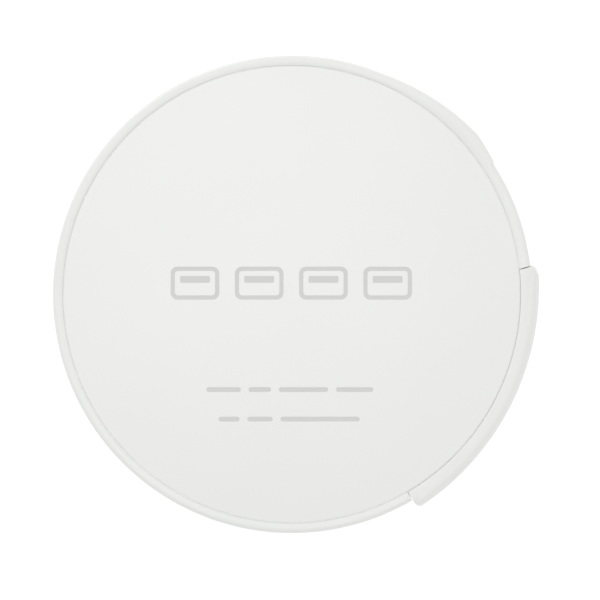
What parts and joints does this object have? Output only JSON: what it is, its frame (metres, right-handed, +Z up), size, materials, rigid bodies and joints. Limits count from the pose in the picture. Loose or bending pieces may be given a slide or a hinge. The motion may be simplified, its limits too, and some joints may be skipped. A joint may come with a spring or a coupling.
{
  "type": "usb hub",
  "caption": "Round puck-shaped hub with side sockets and a short captive lead wound round its waist, its plug docked in the rim.",
  "frame": {"origin": "centre of the underside of the round anti-slip pad, on the disc's axis", "axes": "+Z up along the disc's axis; +Y points out of the first socket; +X points to the right, towards the docked plug"},
  "size_m": [0.0652, 0.064, 0.0182],
  "materials": {
    "rubber_grey": "matt, fine grained",
    "white_plastic": "satin moulded",
    "white_panel": "smooth satin",
    "white_jacket": "soft satin, flexible",
    "zinc_steel": "zinc plated",
    "nickel_shell": "nickel plated",
    "black_insulator": "moulded",
    "chip_resin": "matt resin",
    "board_laminate": "solder mask",
    "adhesive_film": "double-sided film",
    "clear_guide": "clear moulded"
  },
  "bodies": {
    "hub": {"anti_slip_pad": "rubber_grey", "bottom_shell": "white_plastic", "ballast_plate": "zinc_steel", "mid_frame": "white_plastic", "pcb": "board_laminate", "top_shell": "white_plastic", "panel_adhesive": "adhesive_film", "top_panel": "white_panel", "hub_controller": "chip_resin", "crystal": "nickel_shell", "power_switch_1": "chip_resin", "power_switch_2": "chip_resin", "esd_array": "chip_resin", "capacitor_1": "nickel_shell", "capacitor_2": "nickel_shell", "status_led": "clear_guide", "light_guide": "clear_guide", "lead_header": "black_insulator", "lead_connector": "black_insulator", "lead_tail": "white_jacket", "lead_boot": "white_jacket", "lead": "white_jacket", "lead_neck": "white_jacket", "usb_port_shell_1": "nickel_shell", "usb_port_tongue_1": "black_insulator", "case_screw_1": "zinc_steel", "usb_port_shell_2": "nickel_shell", "usb_port_tongue_2": "black_insulator", "case_screw_2": "zinc_steel", "usb_port_shell_3": "nickel_shell", "usb_port_tongue_3": "black_insulator", "case_screw_3": "zinc_steel", "usb_port_shell_4": "nickel_shell", "usb_port_tongue_4": "black_insulator", "case_screw_4": "zinc_steel"},
    "plug": {"plug_overmold": "white_plastic", "plug_shell": "nickel_shell", "plug_insulator": "black_insulator"}
  },
  "joints": [
    {"name": "plug_swing", "type": "hinge", "parent": "hub", "child": "plug", "pos_m": [0.01655, -0.02809, 0], "axis": [0, 0, -1], "range_deg": [0, 75], "deforming": ["lead_neck"]}
  ]
}
